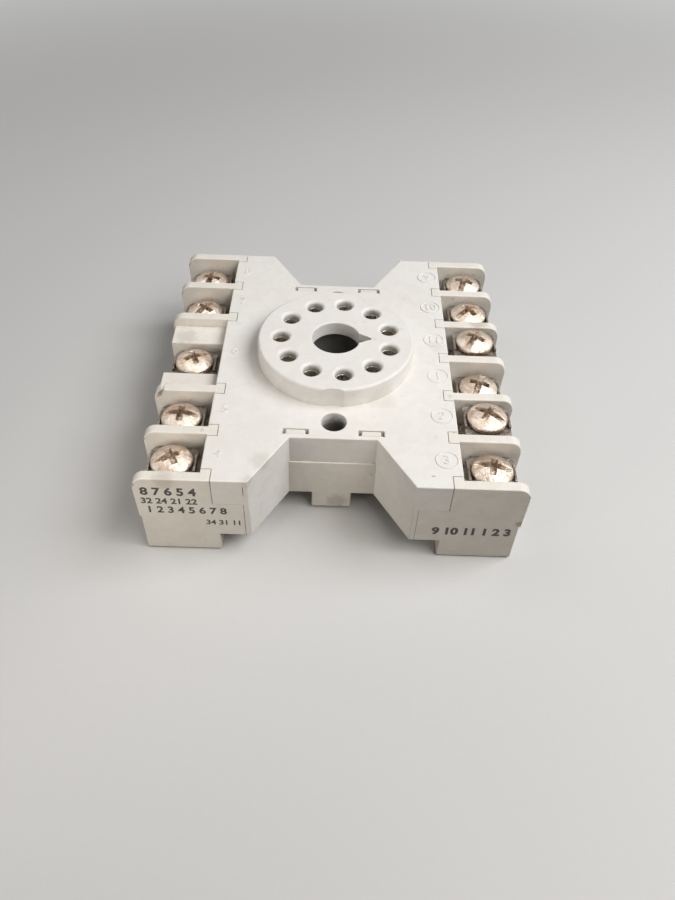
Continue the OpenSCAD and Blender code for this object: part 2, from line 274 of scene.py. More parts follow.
class Effects:
    """Shader node groups that the finishes share, each built once."""

    FLAT = (1.0, 1.0, 0.0)

    def __init__(self) -> None:
        """Build every group."""
        self.blotches = self._blotches()
        self.grain = self._grain()
        self.scratches = self._scratches()
        self.crevice = self._crevice()
        self.specks = self._specks()
        self.stain = self._stain()
        # painted shade down the holes, with some soiling
        self.depth = self._depth()
        self.turning = self._turning()

    @staticmethod
    def _group(name: str, output: str, inputs: dict[str, float]) -> tuple[Graph, dict, bpy.types.NodeSocket]:
        """Make an empty group with a Vector input, float inputs and one float output.

        Args:
            name: The group's name.
            output: Name of the output.
            inputs: Default value of each float input.

        Returns:
            The graph, what is given to the group by input name, and the socket of its result.
        """
        tree = bpy.data.node_groups.new(name, "ShaderNodeTree")
        tree.interface.new_socket("Vector", in_out="INPUT", socket_type="NodeSocketVector")
        for label, value in inputs.items():
            socket = tree.interface.new_socket(label, in_out="INPUT", socket_type="NodeSocketFloat")
            socket.default_value = value
        tree.interface.new_socket(output, in_out="OUTPUT", socket_type="NodeSocketFloat")
        graph = Graph(tree)
        source, sink = graph.add("NodeGroupInput"), graph.add("NodeGroupOutput")
        return graph, {label: source.outputs[label] for label in ("Vector", *inputs)}, sink.inputs[output]

    def _blotches(self) -> bpy.types.NodeTree:
        """Build soft uneven patches, as of ageing or handling.

        Returns:
            The group's tree.
        """
        graph, given, result = self._group("soft_blotches", "Mask", {"Scale": 120.0, "Contrast": 0.2})
        wide = graph.noise(given["Vector"], given["Scale"], 4.0, 0.6, 0.6)
        low = graph.math("SUBTRACT", 0.5, given["Contrast"])
        high = graph.math("ADD", 0.5, given["Contrast"])
        graph.feed(result, graph.span(wide.outputs["Fac"], low, high))
        return graph.tree

    def _grain(self) -> bpy.types.NodeTree:
        """Build the fine spark-eroded grain that a mould leaves.

        Returns:
            The group's tree.
        """
        graph, given, result = self._group("mould_grain", "Height", {"Scale": 2600.0})
        fine = graph.noise(given["Vector"], given["Scale"], 3.0, 0.65)
        slow = graph.noise(given["Vector"], graph.math("MULTIPLY", given["Scale"], 0.12), 2.0)
        graph.feed(result, graph.math("ADD", fine.outputs["Fac"], graph.math("MULTIPLY", slow.outputs["Fac"], 1.5)))
        return graph.tree

    def _scratches(self) -> bpy.types.NodeTree:
        """Build thin scratches in two directions, broken into short runs.

        Returns:
            The group's tree.
        """
        graph, given, result = self._group("fine_scratches", "Mask", {"Scale": 260.0, "Share": 0.5})
        masks = []
        for turn, stretch in ((0.5, 14.0), (2.1, 18.0)):
            turned = graph.add("VectorRotate", {"Vector": given["Vector"], "Angle": turn})
            long = graph.vector("MULTIPLY", turned.outputs[0], (1.0, stretch, stretch * 0.5))
            noise = graph.noise(long.outputs[0], given["Scale"], 2.0)
            near = graph.math("ABSOLUTE", graph.math("SUBTRACT", noise.outputs["Fac"], 0.5))
            masks.append(graph.span(near, 0.0, 0.012, 1.0, 0.0))
        breaks = graph.noise(given["Vector"], given["Scale"], 1.0)
        edge = graph.math("SUBTRACT", 1.0, given["Share"])
        gate = graph.add("MapRange", {"Value": breaks.outputs["Fac"], "From Min": edge,
                                      "From Max": graph.math("ADD", edge, 0.12)})
        lines = graph.math("MAXIMUM", masks[0], masks[1])
        graph.feed(result, graph.math("MULTIPLY", lines, gate.outputs["Result"]))
        return graph.tree

    def _crevice(self) -> bpy.types.NodeTree:
        """Build a mask of corners and gaps from ambient occlusion, broken up by noise: painted shade, and the
        soiling that stays there.

        Returns:
            The group's tree.
        """
        graph, given, result = self._group("crevice_shade_and_dirt", "Mask", {"Reach": 0.0012, "Scale": 500.0})
        # ambient occlusion finds the corners and gaps that the mask darkens as painted shade
        hollow = graph.add("AmbientOcclusion", {"Distance": given["Reach"]}, samples=6)
        noise = graph.noise(given["Vector"], given["Scale"], 4.0, 0.7)
        depth = graph.span(hollow.outputs["AO"], 0.35, 0.95, 1.0, 0.0)
        broken = graph.span(noise.outputs["Fac"], 0.3, 0.62)
        graph.feed(result, graph.math("MULTIPLY", depth, broken))
        return graph.tree

    def _specks(self) -> bpy.types.NodeTree:
        """Build sparse small specks of uneven size.

        Returns:
            The group's tree.
        """
        graph, given, result = self._group("small_specks", "Mask", {"Scale": 900.0, "Share": 0.3})
        warp = graph.noise(given["Vector"], 3000.0, 2.0)
        shift = graph.vector("MULTIPLY", warp.outputs["Color"], (0.0003, 0.0003, 0.0003))
        moved = graph.vector("ADD", given["Vector"], shift.outputs[0])
        cells = graph.add("TexVoronoi", {"Vector": moved.outputs[0], "Scale": given["Scale"]})
        chance = graph.add("SeparateColor", {0: cells.outputs["Color"]})
        taken = graph.math("LESS_THAN", chance.outputs[0], given["Share"])
        size = graph.math("MULTIPLY", chance.outputs[1], 0.3)
        near = graph.math("LESS_THAN", cells.outputs["Distance"], size)
        graph.feed(result, graph.math("MULTIPLY", taken, near))
        return graph.tree

    def _stain(self) -> bpy.types.NodeTree:
        """Build a ragged stain round one place.

        Returns:
            The group's tree.
        """
        graph, given, result = self._group("local_stain", "Mask", {"X": 0.0, "Y": 0.0, "Z": 0.0, "Reach": 0.002})
        centre = graph.add("CombineXYZ", {axis: given[axis] for axis in "XYZ"})
        gap = graph.vector("DISTANCE", given["Vector"], centre.outputs[0])
        share = graph.math("DIVIDE", gap.outputs["Value"], given["Reach"])
        noise = graph.noise(given["Vector"], 900.0, 4.0, 0.65)
        ragged = graph.math("ADD", share, graph.math("MULTIPLY", noise.outputs["Fac"], 0.9))
        graph.feed(result, graph.span(ragged, 0.75, 1.35, 1.0, 0.0))
        return graph.tree

    def _depth(self) -> bpy.types.NodeTree:
        """Build painted shade, with some soiling, that grows darker with depth in a hole, or in a ring of holes,
        about a vertical axis.

        Returns:
            The group's tree.
        """
        graph, given, result = self._group("hole_shade_and_grime", "Mask", {"Y": 0.0, "Ring": 0.0, "Reach": 0.002, "Top": 0.0,
                                                                  "Depth": 0.002})
        centre = graph.add("CombineXYZ", {"Y": given["Y"]})
        arm = graph.vector("SUBTRACT", given["Vector"], centre.outputs[0])
        radius = graph.vector("LENGTH", graph.vector("MULTIPLY", arm.outputs[0], self.FLAT).outputs[0])
        off = graph.math("ABSOLUTE", graph.math("SUBTRACT", radius.outputs["Value"], given["Ring"]))
        inside = graph.math("LESS_THAN", off, given["Reach"])
        height = graph.add("SeparateXYZ", {0: given["Vector"]})
        below = graph.math("DIVIDE", graph.math("SUBTRACT", given["Top"], height.outputs["Z"]), given["Depth"])
        noise = graph.noise(given["Vector"], 1400.0, 3.0)
        ripple = graph.math("MULTIPLY", graph.math("SUBTRACT", noise.outputs["Fac"], 0.5), 0.5)
        graph.feed(result, graph.math("MULTIPLY", inside, graph.span(graph.math("ADD", below, ripple), 0.12, 1.0)))
        return graph.tree

    def _turning(self) -> bpy.types.NodeTree:
        """Build rings round the Z axis, as a lathe leaves them.

        Returns:
            The group's tree.
        """
        graph, given, result = self._group("turning_rings", "Height", {"Scale": 9000.0})
        radius = graph.vector("LENGTH", graph.vector("MULTIPLY", given["Vector"], self.FLAT).outputs[0])
        scaled = graph.math("MULTIPLY", radius.outputs["Value"], given["Scale"])
        noise = graph.add("TexNoise", {"W": scaled, "Detail": 2.0}, noise_dimensions="1D")
        graph.feed(noise.inputs["Scale"], 1.0)
        graph.feed(result, noise.outputs["Fac"])
        return graph.tree


# ---------------------------------------------------------------- finishes


def new_material(name: str) -> tuple[bpy.types.Material, Graph, bpy.types.Node, bpy.types.NodeSocket]:
    """Make a material with an empty Principled shader.

    Args:
        name: The material's name.

    Returns:
        The material, its graph, the shader node and the object coordinates.
    """
    material = bpy.data.materials.new(name)
    material.use_nodes = True
    material.node_tree.nodes.clear()
    graph = Graph(material.node_tree)
    shader = graph.add("BsdfPrincipled")
    graph.add("OutputMaterial", {"Surface": shader.outputs["BSDF"]})
    place = graph.add("TexCoord").outputs["Object"]
    return material, graph, shader, place


@dataclass(frozen=True)
class Stain:
    """A ragged stain round one place."""

    place: Place
    reach: float
    amount: float


@dataclass(frozen=True)
class Hole:
    """Painted shade in a hole, or in a ring of holes, on the plane X = 0, with some soiling.

    The shade starts at the top and is full at the depth, both along Z.  The reach is how far it
    goes from the axis, or from the ring on which the holes stand.
    """

    top: float
    depth: float
    reach: float
    amount: float
    y: float = 0.0
    ring: float = 0.0


@dataclass(frozen=True)
class MouldedPlastic:
    """A satin thermoset moulding that has aged and been handled, with shade painted into its corners, gaps and
    holes.
    """

    name: str
    colour: Colour
    aged: Colour
    dirt: Colour
    dirt_amount: float
    stains: tuple[Stain, ...]
    holes: tuple[Hole, ...]
    speck_amount: float = 0.25
    roughness: float = 0.46
    grain_height: float = 0.010 * MM
    scratch_depth: float = 0.020 * MM
    scratch: Colour = (0.93, 0.92, 0.90)
    # near-black tone of the painted shade down the holes
    hole_dirt: Colour = (0.035, 0.030, 0.026)

    def build(self, effects: Effects) -> bpy.types.Material:
        """Make the material.

        Args:
            effects: The shared node groups.

        Returns:
            The material.
        """
        material, graph, shader, place = new_material(self.name)
        ageing = graph.effect(effects.blotches, place, Scale=70.0, Contrast=0.22)
        handling = graph.effect(effects.blotches, place, Scale=420.0, Contrast=0.16)
        corners = graph.effect(effects.crevice, place, Reach=1.4 * MM, Scale=700.0)
        lines = graph.effect(effects.scratches, place, Scale=230.0, Share=0.42)
        specks = graph.effect(effects.specks, place, Scale=620.0, Share=0.22)
        grain = graph.effect(effects.grain, place, Scale=2400.0)
        tone = graph.lay(self.colour, ageing, 0.6, self.aged)
        tone = graph.lay(tone, handling, 0.10, self.dirt)
        # painted shade: corners and gaps darkened by ambient occlusion in the soiling colour, partly real soiling
        tone = graph.lay(tone, corners, self.dirt_amount, self.dirt)
        tone = graph.lay(tone, lines, 0.16, self.scratch)
        tone = graph.lay(tone, specks, self.speck_amount, self.dirt)
        tone, dull = self._soil(effects, graph, place, tone)
        rough = graph.lift(self.roughness, handling, 0.12)
        rough = graph.lift(rough, corners, 0.2)
        rough = graph.lift(rough, dull, 0.5)
        relief = graph.bump(grain, 0.35, self.grain_height)
        relief = graph.bump(lines, 0.25, self.scratch_depth, relief, sunk=True)
        graph.feed(shader.inputs["Base Color"], tone)
        graph.feed(shader.inputs["Roughness"], rough)
        graph.feed(shader.inputs["Normal"], relief.outputs["Normal"])
        return material

    def _soil(self, effects: Effects, graph: Graph, place: Feed, tone: Feed) -> tuple[Feed, Feed]:
        """Lay the stains, and the painted shade of the holes with its soiling, over a tone.

        Args:
            effects: The shared node groups.
            graph: The material's graph.
            place: The coordinates.
            tone: The colour so far.

        Returns:
            The colour, and a mask of the painted shade in the holes.
        """
        for spot in self.stains:
            stain = graph.effect(effects.stain, place, X=spot.place[0], Y=spot.place[1], Z=spot.place[2],
                                 Reach=spot.reach)
            tone = graph.lay(tone, stain, spot.amount, self.dirt)
        dull = 0.0
        # painted shade: each hole darkens towards its depth, and its gloss dulls with it
        for hole in self.holes:
            grime = graph.effect(effects.depth, place, Y=hole.y, Ring=hole.ring, Reach=hole.reach, Top=hole.top,
                                 Depth=hole.depth)
            share = graph.math("MULTIPLY", grime, hole.amount)
            tone = graph.mix(share, tone, self.hole_dirt)
            dull = graph.math("MAXIMUM", dull, share)
        return tone, dull


@dataclass(frozen=True)
class Ink:
    """Pad-printed ink, and a dark film of soiling and painted shadow, each worn thin in places."""

    name: str
    colour: Colour
    roughness: float = 0.42
    thin: Colour = (0.22, 0.21, 0.20)
    bare: Colour = (0.40, 0.38, 0.36)

    def build(self, effects: Effects) -> bpy.types.Material:
        """Make the material.

        Args:
            effects: The shared node groups.

        Returns:
            The material.
        """
        material, graph, shader, place = new_material(self.name)
        worn = graph.effect(effects.blotches, place, Scale=1800.0, Contrast=0.12)
        lines = graph.effect(effects.scratches, place, Scale=500.0, Share=0.6)
        tone = graph.lay(self.colour, worn, 0.25, self.thin)
        tone = graph.lay(tone, lines, 0.3, self.bare)
        graph.feed(shader.inputs["Base Color"], tone)
        graph.feed(shader.inputs["Roughness"], graph.lift(self.roughness, worn, 0.25))
        graph.feed(shader.inputs["Normal"], graph.bump(worn, 0.3, 0.010 * MM).outputs["Normal"])
        return material


@dataclass(frozen=True)
class PlatedMetal:
    """Plated steel or brass with tarnish, handling marks and lathe or press marks, and shade painted into its
    recesses.
    """

    name: str
    colour: Colour
    tarnish: Colour
    roughness: float
    tarnish_amount: float
    # reach of the painted shade in recesses and round the parts that touch
    recess: float = 0.8 * MM
    turned: bool = False
    grain_height: float = 0.010 * MM
    dent_depth: float = 0.11 * MM
    scratch_depth: float = 0.015 * MM

    def build(self, effects: Effects) -> bpy.types.Material:
        """Make the material.

        Args:
            effects: The shared node groups.

        Returns:
            The material.
        """
        material, graph, shader, place = new_material(self.name)
        patches = graph.effect(effects.blotches, place, Scale=480.0, Contrast=0.2)
        corners = graph.effect(effects.crevice, place, Reach=self.recess, Scale=1500.0)
        knocks = graph.effect(effects.blotches, place, Scale=1500.0, Contrast=0.2)
        lines = graph.effect(effects.scratches, place, Scale=800.0, Share=0.6)
        height = graph.effect(effects.grain, place, Scale=5200.0)
        if self.turned:
            rings = graph.effect(effects.turning, place, Scale=11000.0)
            height = graph.math("ADD", graph.math("MULTIPLY", rings, 1.6), height)
        tone = graph.lay(self.colour, patches, self.tarnish_amount, self.tarnish)
        # painted shade: recesses darkened by ambient occlusion to a deep tarnish tone, partly real tarnish
        tone = graph.lay(tone, corners, 0.85, tuple(0.35 * channel for channel in self.tarnish))
        rough = graph.lift(self.roughness, patches, 0.16)
        rough = graph.lift(rough, lines, 0.15)
        relief = graph.bump(height, 0.4, self.grain_height)
        relief = graph.bump(knocks, 0.7, self.dent_depth, relief)
        relief = graph.bump(lines, 0.5, self.scratch_depth, relief, sunk=True)
        graph.feed(shader.inputs["Base Color"], tone)
        graph.feed(shader.inputs["Roughness"], rough)
        graph.feed(shader.inputs["Normal"], relief.outputs["Normal"])
        shader.inputs["Metallic"].default_value = 1.0
        return material


@dataclass
class Finishes:
    """Every material of the socket, with the places where the mouldings are stained and where shade is painted into
    their holes.
    """

    effects: Effects
    pin_ring: float
    screw_hole_y: float
    by_slot: dict[Slot, bpy.types.Material] = field(init=False)
    ink: bpy.types.Material = field(init=False)
    grime: bpy.types.Material = field(init=False)

    def __post_init__(self) -> None:
        """Build the materials."""
        metals = {
            Slot.CONTACT: PlatedMetal("tinned_brass", (0.78, 0.73, 0.64), (0.30, 0.24, 0.17), 0.26, 0.5),
            # clamp nickel is darkened well below its own tone and deeply tarnished: painted shade of the bays and
            # their dark reflections
            Slot.CLAMP: PlatedMetal("shaded_nickel_plate", (0.42, 0.38, 0.33), (0.13, 0.10, 0.08), 0.34, 0.8,
                                    recess=1.6 * MM),
            Slot.SCREW: PlatedMetal("screw_plating", (0.90, 0.79, 0.68), (0.44, 0.30, 0.20), 0.28, 0.7,
                                    recess=1.3 * MM, turned=True)}
        # each moulding's soiling colour also paints shade into its corners
        plastics = {
            Slot.BASE: MouldedPlastic("base_moulding", (0.81, 0.785, 0.735), (0.78, 0.745, 0.675),
                                      (0.36, 0.29, 0.22), 0.38, self._base_stains(),
                                      (self._key_well(), *self._screw_holes())),
            Slot.COVER: MouldedPlastic("cover_moulding", (0.81, 0.80, 0.78), (0.79, 0.77, 0.725),
                                       (0.46, 0.41, 0.32), 0.25, self._cover_stains(),
                                       (self._pin_holes(), self._key_well(), *self._screw_holes()),
                                       speck_amount=0.15)}
        self.by_slot = {slot: finish.build(self.effects) for slot, finish in {**plastics, **metals}.items()}
        self.ink = Ink("printing_ink", (0.035, 0.034, 0.036)).build(self.effects)
        # dark film for the painted shadow at the left skirt joint and for a smear on the deck
        self.grime = Ink("seam_grime", (0.20, 0.16, 0.12), 0.7).build(self.effects)

    @staticmethod
    def _base_stains() -> tuple[Stain, ...]:
        """Return the stains of the base: on the broken barrier, the wings, one block and the front leg.

        Returns:
            The stains.
        """
        low, high = box_of("base")
        fourth, fifth = box_of("clamp_4")[1].y, box_of("clamp_5")[1].y
        block, barrier = box_of("clamp_3")[1].y, box_of("clamp_7")[0].y
        return (
            Stain((low.x + 0.9 * MM, fourth - 0.3 * (fourth - fifth), high.z - 0.9 * MM), 1.5 * MM, 0.8),
            Stain((low.x + 5.0 * MM, low.y, high.z - 0.4 * MM), 2.6 * MM, 0.35),
            Stain((high.x - 0.4 * MM, low.y, high.z - 8.1 * MM), 1.0 * MM, 0.7),
            Stain((high.x - 4.0 * MM, barrier - 0.9 * MM, high.z), 2.4 * MM, 0.45),
            Stain((low.x + 3.0 * MM, block + 2.2 * MM, high.z - 1.9 * MM), 3.0 * MM, 0.3),
            Stain((0.03 * high.x, 0.7 * low.y, low.z + 2.0 * MM), 2.6 * MM, 0.4))

    @staticmethod
    def _cover_stains() -> tuple[Stain, ...]:
        """Return the stains of the cover: three on the deck and one on the side of the seat.

        Returns:
            The stains.
        """
        low, high = box_of("cover")
        deck = deck_height()
        return (
            Stain((0.55 * low.x, 0.85 * low.y, deck), 2.6 * MM, 0.3),
            Stain((0.4 * high.x, -0.38 * high.y, deck + 0.8 * MM), 3.4 * MM, 0.22),
            Stain((0.62 * low.x, low.y, deck - 0.3 * MM), 1.8 * MM, 0.4),
            Stain((0.9 * high.x, 0.1 * high.y, deck), 2.2 * MM, 0.18))

    def _pin_holes(self) -> Hole:
        """Return the painted shade, with some soiling, in the ring of pin holes."""
        return Hole(box_of("cover")[1].z, 1.9 * MM, 1.5 * MM, 0.85, ring=self.pin_ring)

    @staticmethod
    def _key_well() -> Hole:
        """Return the painted shade, with some soiling, in the well below the key hole."""
        return Hole(box_of("cover")[1].z - 2.6 * MM, 1.2 * MM, 7.2 * MM, 0.74)

    def _screw_holes(self) -> tuple[Hole, ...]:
        """Return the painted shade, with some soiling, in the two mounting holes."""
        return tuple(Hole(deck_height(), 2.8 * MM, 2.15 * MM, 0.85, y=sign * self.screw_hole_y) for sign in (-1, 1))

    def dress(self, piece: bpy.types.Object, slot: Slot) -> None:
        """Give a piece the material of a slot.

        Args:
            piece: The piece.
            slot: The slot.
        """
        piece.data.materials.clear()
        piece.data.materials.append(self.by_slot[slot])


# ---------------------------------------------------------------- places and mesh tools


def box_of(node: str) -> tuple[Vector, Vector]:
    """Return the low and high corner of a CAD node."""
    low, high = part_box(node)
    return Vector(low), Vector(high)


def deck_height() -> float:
    """Return the height of the deck, which is that of the barriers."""
    return box_of("base")[1].z


def add_object(name: str, data: bpy.types.ID) -> bpy.types.Object:
    """Link a new object to the scene.

    Args:
        name: The object's name.
        data: Its mesh, curve, lamp or camera.

    Returns:
        The object.
    """
    piece = bpy.data.objects.new(name, data)
    bpy.context.scene.collection.objects.link(piece)
    return piece


def mesh_from(name: str, build: bmesh.types.BMesh) -> bpy.types.Mesh:
    """Turn a bmesh into a mesh and free it.

    Args:
        name: The mesh's name.
        build: The bmesh.

    Returns:
        The mesh.
    """
    mesh = bpy.data.meshes.new(name)
    build.to_mesh(mesh)
    build.free()
    return mesh


def evaluated_mesh(source: bpy.types.Object) -> bpy.types.Mesh:
    """Return a new mesh of an object, curve or text after its modifiers."""
    graph = bpy.context.evaluated_depsgraph_get()
    return bpy.data.meshes.new_from_object(source.evaluated_get(graph))


def clean_copy(node: str, name: str) -> bpy.types.Object:
    """Copy a CAD node's mesh and weld it.

    Args:
        node: The CAD node.
        name: Name of the new piece.

    Returns:
        The new piece.
    """
    build = bmesh.new()
    build.from_mesh(bpy.data.objects[node].data)
    bmesh.ops.remove_doubles(build, verts=build.verts, dist=0.001 * MM)
    return add_object(name, mesh_from(name, build))


def middle_of(edge: bmesh.types.BMEdge) -> Vector:
    """Return the middle of an edge."""
    return (edge.verts[0].co + edge.verts[1].co) / 2


def is_roomy(tree: BVHTree, edge: bmesh.types.BMEdge, width: float) -> bool:
    """Tell whether both faces of an edge reach far enough for a rounding.

    Args:
        tree: Search tree of the mesh.
        edge: The edge.
        width: Width of the rounding in metres.

    Returns:
        True if a step of more than twice the width stays on each face.
    """
    middle = middle_of(edge)
    along = (edge.verts[1].co - edge.verts[0].co).normalized()
    for face in edge.link_faces:
        inward = face.normal.cross(along)
        if inward.dot(face.calc_center_median() - middle) < 0:
            inward.negate()
        found = tree.find_nearest(middle + inward * 2.1 * width)
        if found[3] is None or found[3] > 0.12 * width:
            return False
    return True


def turn_between(first: bmesh.types.BMEdge, second: bmesh.types.BMEdge, shared: bmesh.types.BMVert) -> float:
    """Return the angle through which a path turns from one edge to the next.

    Args:
        first: The edge that ends at the shared vertex.
        second: The edge that starts there.
        shared: The shared vertex.

    Returns:
        The angle in radians.
    """
    arriving = shared.co - first.other_vert(shared).co
    leaving = second.other_vert(shared).co - shared.co
    return arriving.angle(leaving, math.pi)


def tight_corners(sharp: set[bmesh.types.BMEdge], width: float) -> set[bmesh.types.BMVert]:
    """Find the ends of short sharp edges that don't run on smoothly into another one.

    Args:
        sharp: The sharp edges of a mesh.
        width: Width of the rounding in metres.

    Returns:
        The vertices that no rounding may touch.
    """
    tight = set()
    for edge in sharp:
        if edge.calc_length() < 1.3 * width:
            for vertex in edge.verts:
                others = [e for e in vertex.link_edges if e in sharp and e is not edge]
                if len(others) != 1 or turn_between(edge, others[0], vertex) > math.radians(35.0):
                    tight.update(edge.verts)
    return tight


def round_edges(build: bmesh.types.BMesh, width: float, segments: int, partner: BVHTree | None = None,
                least_deg: float = 30.0, seam: float = 0.16 * MM) -> None:
    """Round the outer edges of a mesh wherever there is room, and mark the new faces.

    Args:
        build: The mesh, with an integer face layer named rounding.
        width: Width of the rounding in metres.
        segments: Faces across each rounding.
        partner: Search tree of a piece whose seams with this one stay crisp.
        least_deg: Least angle of an edge to round.
        seam: How near to the partner an edge belongs to a seam.
    """
    build.normal_update()
    tree = BVHTree.FromBMesh(build)
    least = math.radians(least_deg)
    sharp = {e for e in build.edges if len(e.link_faces) == 2 and e.calc_face_angle_signed(0.0) > least}
    tight = tight_corners(sharp, width)
    chosen = [e for e in sharp if not tight.intersection(e.verts) and is_roomy(tree, e, width)]
    if partner:
        chosen = [e for e in chosen if partner.find_nearest(middle_of(e), seam)[0] is None]
    chosen.sort(key=lambda e: e.index)
    made = bmesh.ops.bevel(build, geom=chosen, offset=width, offset_type="OFFSET", segments=segments, profile=0.5,
                           affect="EDGES", clamp_overlap=False, miter_outer="ARC")
    mark = build.faces.layers.int["rounding"]
    for face in made["faces"]:
        face[mark] = 1
    build.edges.index_update()
    build.faces.index_update()


def flat_regions(build: bmesh.types.BMesh) -> list[float]:
    """Weigh each face by the flat region that it belongs to.

    Args:
        build: The mesh, with its roundings marked.

    Returns:
        For each face the square root of its region's area, or 0 for a face of a rounding.
    """
    mark = build.faces.layers.int["rounding"]
    weights = [0.0] * len(build.faces)
    seen = {face.index for face in build.faces if face[mark]}
    for face in build.faces:
        if face.index in seen:
            continue
        seen.add(face.index)
        region, front = [], [face]
        while front:
            member = front.pop()
            region.append(member)
            for edge in member.edges:
                for other in edge.link_faces:
                    if other.index not in seen and other.normal.dot(member.normal) > 0.99997:
                        seen.add(other.index)
                        front.append(other)
        weight = math.sqrt(sum(member.calc_area() for member in region))
        for member in region:
            weights[member.index] = weight
    return weights


def corner_normal(face: bmesh.types.BMFace, vertex: bmesh.types.BMVert, weights: list[float]) -> Vector:
    """Return the shading normal of one corner of a face.

    A flat face keeps its own direction, facets of a curved wall blend with each other, and a
    rounding takes over the direction of the wall that it runs into.

    Args:
        face: The face.
        vertex: The corner's vertex.
        weights: Each face's weight, as flat_regions returns it.

    Returns:
        The normal.
    """
    walls = [other for other in vertex.link_faces if weights[other.index] > 0.0]
    guide = face.normal
    if weights[face.index] == 0.0:
        closest = max(walls, key=lambda other: other.normal.dot(guide), default=None)
        if closest is None or closest.normal.dot(guide) < 0.3:
            walls = [other for other in vertex.link_faces if weights[other.index] == 0.0]
        else:
            guide = closest.normal
    total = Vector()
    for other in walls:
        if other.normal.dot(guide) > 0.82:
            total += other.normal * (weights[other.index] or 0.001)
    return total.normalized() if total.length > 1e-9 else guide


def soften(piece: bpy.types.Object, width: float, fine: float = 0.0, partner: str = "") -> None:
    """Round the edges of a piece, and keep its flat faces flat in shading.

    Args:
        piece: The piece.
        width: Width of the rounding in metres.
        fine: Width of a second, finer rounding of the edges that the first one left.
        partner: CAD node whose seams with this piece only take the fine rounding.
    """
    build = bmesh.new()
    build.from_mesh(piece.data)
    build.faces.layers.int.new("rounding")
    tree = None
    if partner:
        mate = bmesh.new()
        mate.from_mesh(bpy.data.objects[partner].data)
        tree = BVHTree.FromBMesh(mate)
        mate.free()
    round_edges(build, width, 2, tree)
    if fine:
        round_edges(build, fine, 1)
    build.normal_update()
    weights = flat_regions(build)
    normals = [corner_normal(face, loop.vert, weights) for face in build.faces for loop in face.loops]
    build.to_mesh(piece.data)
    build.free()
    piece.data.shade_smooth()
    piece.data.normals_split_custom_set(normals)


def shade(mesh: bpy.types.Mesh, sharp_deg: float) -> None:
    """Shade a mesh smooth but for edges sharper than an angle."""
    mesh.shade_smooth()
    mesh.set_sharp_from_angle(angle=math.radians(sharp_deg))


def cut(piece: bpy.types.Object, cutters: list[bpy.types.Object]) -> None:
    """Cut solids out of a piece and remove them from the scene.

    Args:
        piece: The piece to change.
        cutters: The solids.
    """
    for cutter in cutters:
        boolean = piece.modifiers.new("cut", "BOOLEAN")
        boolean.operation = "DIFFERENCE"
        boolean.solver = "EXACT"
        boolean.object = cutter
        mesh = evaluated_mesh(piece)
        piece.modifiers.clear()
        piece.data = mesh
        bpy.data.objects.remove(cutter)


def lathe(name: str, profile: list[tuple[float, float]], segments: int) -> bpy.types.Object:
    """Turn a profile round the Z axis.

    Args:
        name: Name of the new object.
        profile: Points of radius and height in metres, from the bottom to the top.
        segments: Steps round the axis.

    Returns:
        The new object.
    """
    build = bmesh.new()
    rings = []
    for radius, height in profile:
        count = 1 if radius < 1e-9 else segments
        turns = [2 * math.pi * step / segments for step in range(count)]
        rings.append([build.verts.new((radius * math.cos(t), radius * math.sin(t), height)) for t in turns])
    for low, high in zip(rings, rings[1:]):
        for step in range(segments):
            after = (step + 1) % segments
            corners = [low[step % len(low)], low[after % len(low)], high[after % len(high)], high[step % len(high)]]
            corners = [v for i, v in enumerate(corners) if v not in corners[:i]]
            if len(corners) > 2:
                build.faces.new(corners)
    bmesh.ops.recalc_face_normals(build, faces=build.faces)
    return add_object(name, mesh_from(name, build))


def tapered_block(name: str, top: tuple[float, float], bottom: tuple[float, float], low: float, high: float,
                  turn: float = 0.0) -> bpy.types.Object:
    """Make a block whose top and bottom differ in size.

    Args:
        name: Name of the new object.
        top: Length and width at the top.
        bottom: Length and width at the bottom.
        low: Height of the bottom.
        high: Height of the top.
        turn: Turn about Z in radians.

    Returns:
        The new object.
    """
    build = bmesh.new()
    rings = []
    for (length, width), height in ((bottom, low), (top, high)):
        spots = [(sx * length / 2, sy * width / 2, height) for sx, sy in ((-1, -1), (1, -1), (1, 1), (-1, 1))]
        rings.append([build.verts.new(spot) for spot in spots])
    for step in range(4):
        after = (step + 1) % 4
        build.faces.new((rings[0][step], rings[0][after], rings[1][after], rings[1][step]))
    build.faces.new(rings[0][::-1])
    build.faces.new(rings[1])
    build.transform(Matrix.Rotation(turn, 4, "Z"))
    return add_object(name, mesh_from(name, build))


def join_meshes(name: str, parts: list[tuple[bpy.types.Mesh, Matrix]]) -> bpy.types.Object:
    """Join meshes, each moved by its matrix, into one new object.

    Args:
        name: Name of the new object.
        parts: Each mesh with its matrix.

    Returns:
        The new object.
    """
    build = bmesh.new()
    for mesh, matrix in parts:
        copy = mesh.copy()
        copy.transform(matrix)
        build.from_mesh(copy)
        bpy.data.meshes.remove(copy)
    return add_object(name, mesh_from(name, build))


def lettering(body: str, size: float, height: float, edge: float = 0.0, bold: float = 0.0) -> bpy.types.Mesh:
    """Make a flat solid of plain characters, centred on the origin and facing +Z.

    Args:
        body: The characters.
        size: Size of the type in metres.
        height: Thickness in metres, half of it above the origin.
        edge: Rounding of the edges in metres.
        bold: Extra width of the strokes in metres.

    Returns:
        The mesh.
    """
    curve = bpy.data.curves.new("characters", "FONT")
    curve.body = body
    curve.size = size
    curve.extrude = height / 2 - edge
    curve.bevel_depth = edge
    curve.bevel_resolution = 1
    curve.offset = bold
    curve.resolution_u = 4
    curve.align_x = "CENTER"
    curve.align_y = "CENTER"
    shape = add_object("characters", curve)
    mesh = evaluated_mesh(shape)
    bpy.data.objects.remove(shape)
    return mesh


